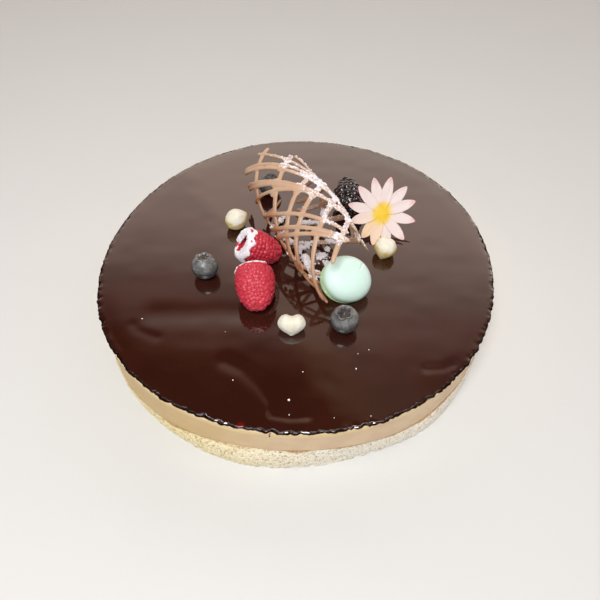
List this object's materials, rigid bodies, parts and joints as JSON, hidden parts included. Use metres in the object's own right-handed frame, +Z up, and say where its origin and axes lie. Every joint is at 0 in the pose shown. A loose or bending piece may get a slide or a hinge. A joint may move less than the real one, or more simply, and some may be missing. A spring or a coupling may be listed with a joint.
{
  "type": "mousse cake",
  "caption": "Round layered mousse cake of sponge, mousse and poured chocolate glaze, dressed with berries, nuts, a macaron, a sugar flower and a rolled chocolate lattice.",
  "frame": {"origin": "middle of the cake's box, at the foot of the sponge", "axes": "+Z up; -Y towards the front of the cake, where the rim shows its layers in the picture"},
  "size_m": [0.2194, 0.2196, 0.0753],
  "materials": {
    "sponge": "pale almond sponge with an open crumb, dark flecks and a thin browned line at its top",
    "mousse": "smooth beige mousse, satin, a little lighter under the glaze",
    "glaze": "dark chocolate mirror glaze, very glossy, with soft waves",
    "lattice": "piped milk chocolate, satin, dusted with icing sugar",
    "raspberry": "fresh raspberry drupelets, moist, with icing sugar on the rim",
    "blueberry": "dark skin with a grey bloom",
    "bramble": "near-black glossy drupelets",
    "hazelnut": "blanched kernel, cream to pale yellow, satin",
    "macaron": "pale mint shell, smooth and dry",
    "flower": "sugar petals, pale pink, airbrushed yellow in the middle",
    "icing_sugar": "powdery white"
  },
  "bodies": {
    "root": {"sponge": "sponge", "mousse": "mousse", "glaze": "glaze", "blueberry_left": "blueberry", "blueberry_front": "blueberry", "blueberry_under_lattice": "blueberry", "raspberry_back": "raspberry", "raspberry_front": "raspberry", "bramble_berry": "bramble", "hazelnut_back": "hazelnut", "hazelnut_front": "hazelnut", "hazelnut_right": "hazelnut", "macaron": "macaron", "sugar_flower": "flower", "chocolate_lattice": "lattice"}
  },
  "joints": []
}
